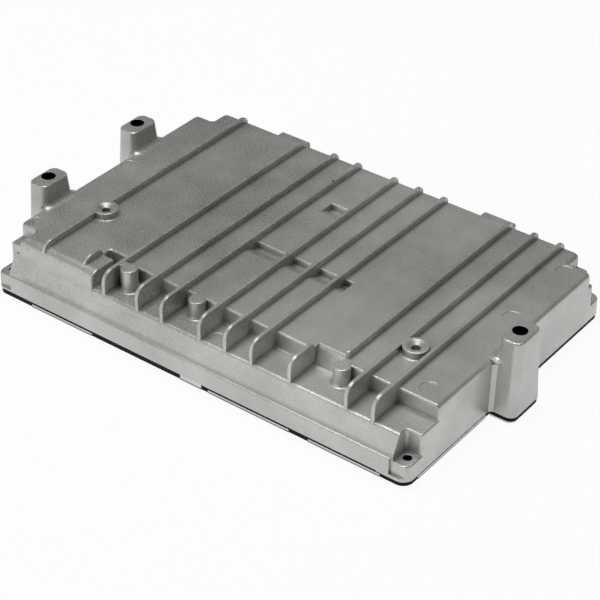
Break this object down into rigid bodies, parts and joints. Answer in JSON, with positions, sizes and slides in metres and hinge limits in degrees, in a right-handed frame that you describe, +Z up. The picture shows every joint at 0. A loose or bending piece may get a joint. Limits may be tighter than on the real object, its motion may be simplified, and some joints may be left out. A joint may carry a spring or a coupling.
{
  "type": "engine control unit",
  "caption": "Engine control unit: flat die-cast housing with long cooling ribs, a webbed front ledge and raised mounting posts, closed from below by a sealed cover.",
  "frame": {"origin": "middle of the housing's rectangular foot, on the underside of the cover that the unit rests on", "axes": "+X along the long side towards the single mounting post, +Y from the stepped front towards the connector side, +Z up, out of the ribbed plate"},
  "size_m": [0.2469, 0.168, 0.04],
  "materials": {
    "cast_metal": "as cast, fine satin grain",
    "cover_sheet": "rolled sheet, satin",
    "seal": "cured sealant, semi-matt",
    "screw_steel": "zinc plated",
    "header_plastic": "glass-filled moulding",
    "pin_metal": "tin plated",
    "board_laminate": "solder resist",
    "chip_body": "moulding compound",
    "can_metal": "drawn can",
    "coil_ferrite": "pressed ferrite",
    "capacitor_ceramic": "fired ceramic",
    "pad_silicone": "soft filled silicone"
  },
  "bodies": {
    "root": {"housing": "cast_metal", "cover_plate": "cover_sheet", "cover_gasket": "seal", "cover_screws": "screw_steel", "connector_header": "header_plastic", "connector_gasket": "seal", "connector_screws": "screw_steel", "engine_connector_pins": "pin_metal", "vehicle_connector_pins": "pin_metal", "circuit_board": "board_laminate", "board_screws": "screw_steel", "microcontroller": "chip_body", "memory_chip": "chip_body", "crystal_oscillator": "can_metal", "power_regulator": "chip_body", "injector_driver_chips": "chip_body", "output_transistors": "chip_body", "current_sense_resistors": "chip_body", "boost_coils": "coil_ferrite", "storage_capacitors": "can_metal", "input_filter_choke": "coil_ferrite", "suppression_diodes": "chip_body", "can_transceivers": "chip_body", "sensor_interface_chip": "chip_body", "pressure_sensor": "chip_body", "chip_capacitors": "capacitor_ceramic", "thermal_pads": "pad_silicone"}
  },
  "joints": []
}
